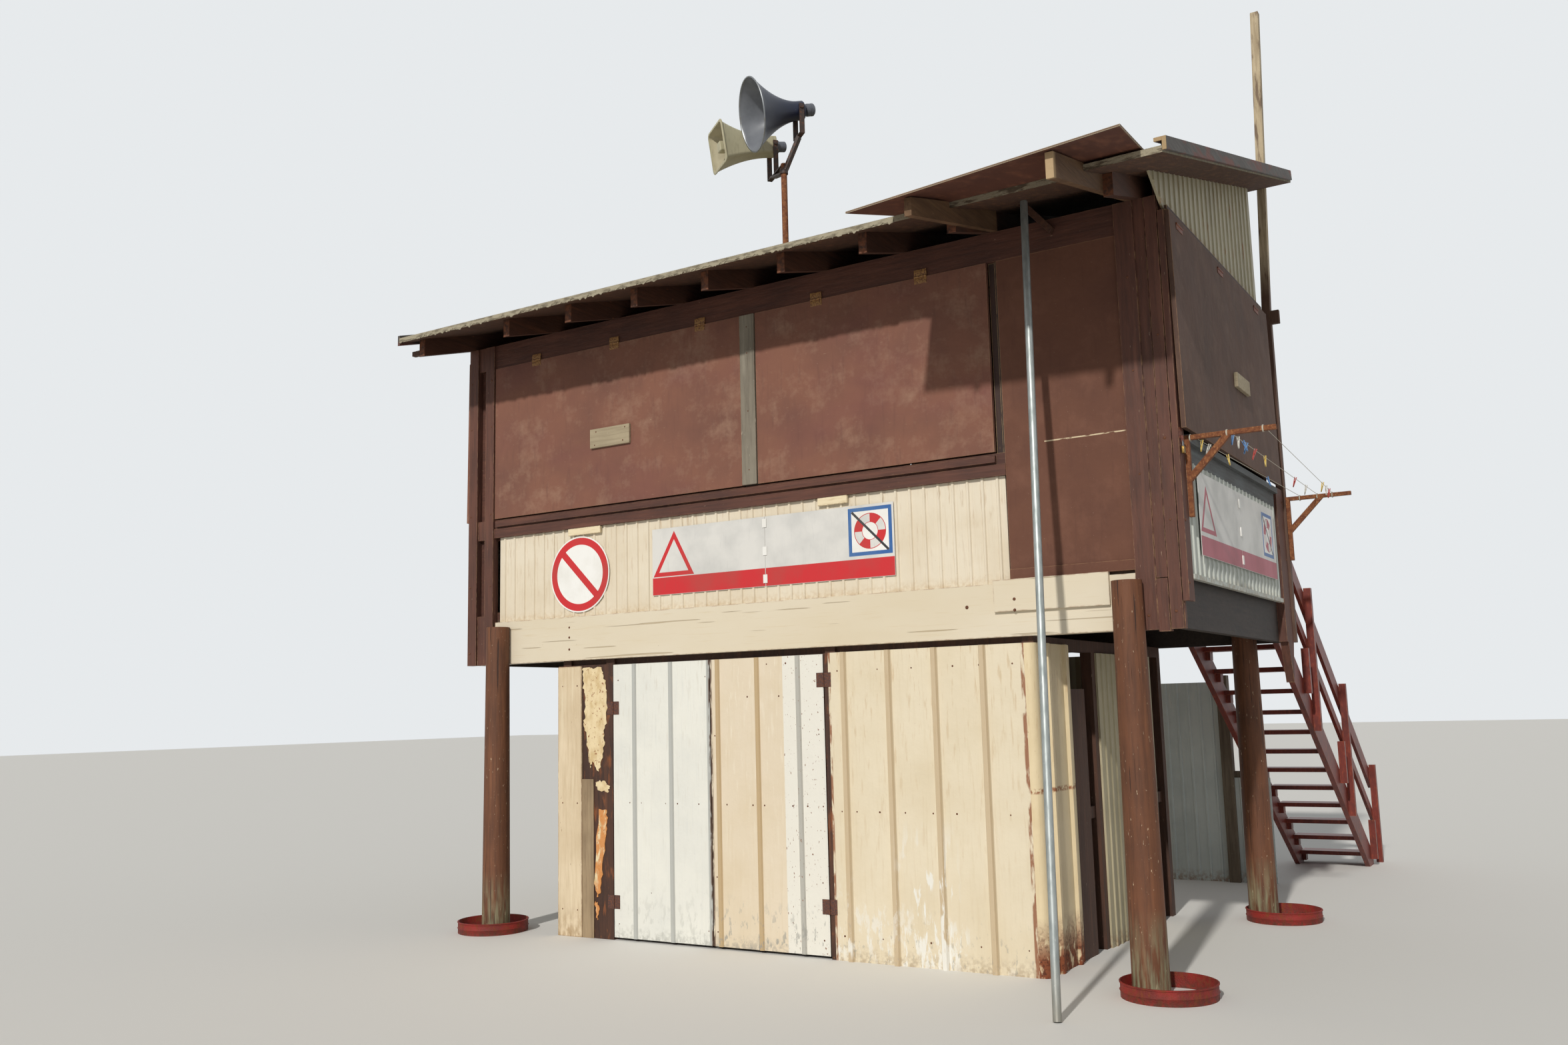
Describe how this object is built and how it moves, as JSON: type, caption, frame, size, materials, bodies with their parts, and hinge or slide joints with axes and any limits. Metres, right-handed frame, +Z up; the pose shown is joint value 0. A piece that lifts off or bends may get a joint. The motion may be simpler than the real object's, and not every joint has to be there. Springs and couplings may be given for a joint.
{
  "type": "lifeguard tower",
  "caption": "Timber lifeguard tower: shuttered watch room under a mono-pitch roof on round posts, over a sheet-clad store with two swinging door leaves; a steep stair climbs at the back.",
  "frame": {"origin": "middle of the foot of the front right round post, on the ground", "axes": "+X to the right along the front, +Y back from the front, +Z up"},
  "size_m": [6.625, 8.46, 7.35],
  "materials": {
    "brown_timber": "oiled timber, worn and flecked with old paint",
    "dark_timber": "dark stained timber",
    "cream_timber": "flaking cream paint on boards",
    "cream_sheet": "cream paint on ribbed sheet, rust at the edges",
    "white_sheet": "white paint, scuffed",
    "straw_sheet": "straw-coloured paint, scuffed",
    "pale_blue_sheet": "faded pale blue paint, stained",
    "brown_plywood": "matt brown paint with pale dust",
    "grey_timber": "bare weathered timber",
    "new_timber": "newer sawn timber",
    "roof_ply": "sheet with a worn brown underside",
    "grey_fascia": "worn grey-blue paint",
    "red_stair_paint": "red-brown paint, worn",
    "red_steel": "red oxide over rust",
    "rusty_steel": "rust",
    "galvanised": "dull galvanised",
    "sill_paint": "faded blue-grey paint on boards",
    "dark_steel": "dark paint over rust",
    "navy_horn": "glossy navy paint, grey inside",
    "cream_horn": "aged cream shell",
    "pale_pole": "bleached timber with dark stains"
  },
  "bodies": {
    "tower": {"post_front_right": "brown_timber", "post_front_left": "brown_timber", "post_back_right": "brown_timber", "post_back_left": "brown_timber", "footing_rings": "red_steel", "beam_front": "cream_timber", "beam_back": "dark_timber", "side_beams": "dark_timber", "beam_plank": "cream_timber", "floor_joists": "brown_timber", "floor_deck": "dark_timber", "column_front_left": "brown_timber", "column_front_right": "brown_timber", "column_back_right": "brown_timber", "column_back_left": "brown_timber", "front_frame": "brown_timber", "right_frame": "brown_timber", "left_frame": "brown_timber", "back_frame": "brown_timber", "front_panel": "cream_sheet", "front_side_panel": "brown_plywood", "right_panel": "pale_blue_sheet", "left_panel": "pale_blue_sheet", "back_panel": "cream_sheet", "shutter_front_left": "brown_plywood", "shutter_front_right": "brown_plywood", "shutter_right": "brown_plywood", "shutter_left": "brown_plywood", "shutter_back": "brown_plywood", "shutter_trims": "grey_timber", "side_sills": "sill_paint", "gable_infills": "cream_sheet", "back_door": "brown_plywood", "rafters": "brown_timber", "new_rafters": "new_timber", "roof_deck": "grey_timber", "roof_sheet": "roof_ply", "roof_curb": "grey_fascia", "prop_pole": "galvanised", "store_frame": "dark_timber", "store_front_cladding": "cream_sheet", "store_corner_sheet": "cream_sheet", "store_hinges": "rusty_steel", "store_side_right": "pale_blue_sheet", "store_side_left": "cream_sheet", "store_back": "cream_sheet", "rear_screen": "pale_blue_sheet", "stair_stringers": "red_stair_paint", "stair_treads": "red_stair_paint", "stair_handrail": "red_stair_paint", "flagpole": "pale_pole", "clothesline_brackets": "rusty_steel", "speaker_mast": "rusty_steel", "horn_brackets": "dark_steel", "horn_round": "navy_horn", "horn_square": "cream_horn"},
    "left_leaf": {"store_door_left": "white_sheet"},
    "right_leaf": {"store_door_right": "straw_sheet"}
  },
  "joints": [
    {"name": "store_door_left_hinge", "type": "hinge", "parent": "tower", "child": "left_leaf", "pos_m": [-4.0805, 0.088, 0], "axis": [0, 0, -1], "range_deg": [0, 90]},
    {"name": "store_door_right_hinge", "type": "hinge", "parent": "tower", "child": "right_leaf", "pos_m": [-2.1995, 0.088, 0], "axis": [0, 0, 1], "range_deg": [0, 90]}
  ]
}
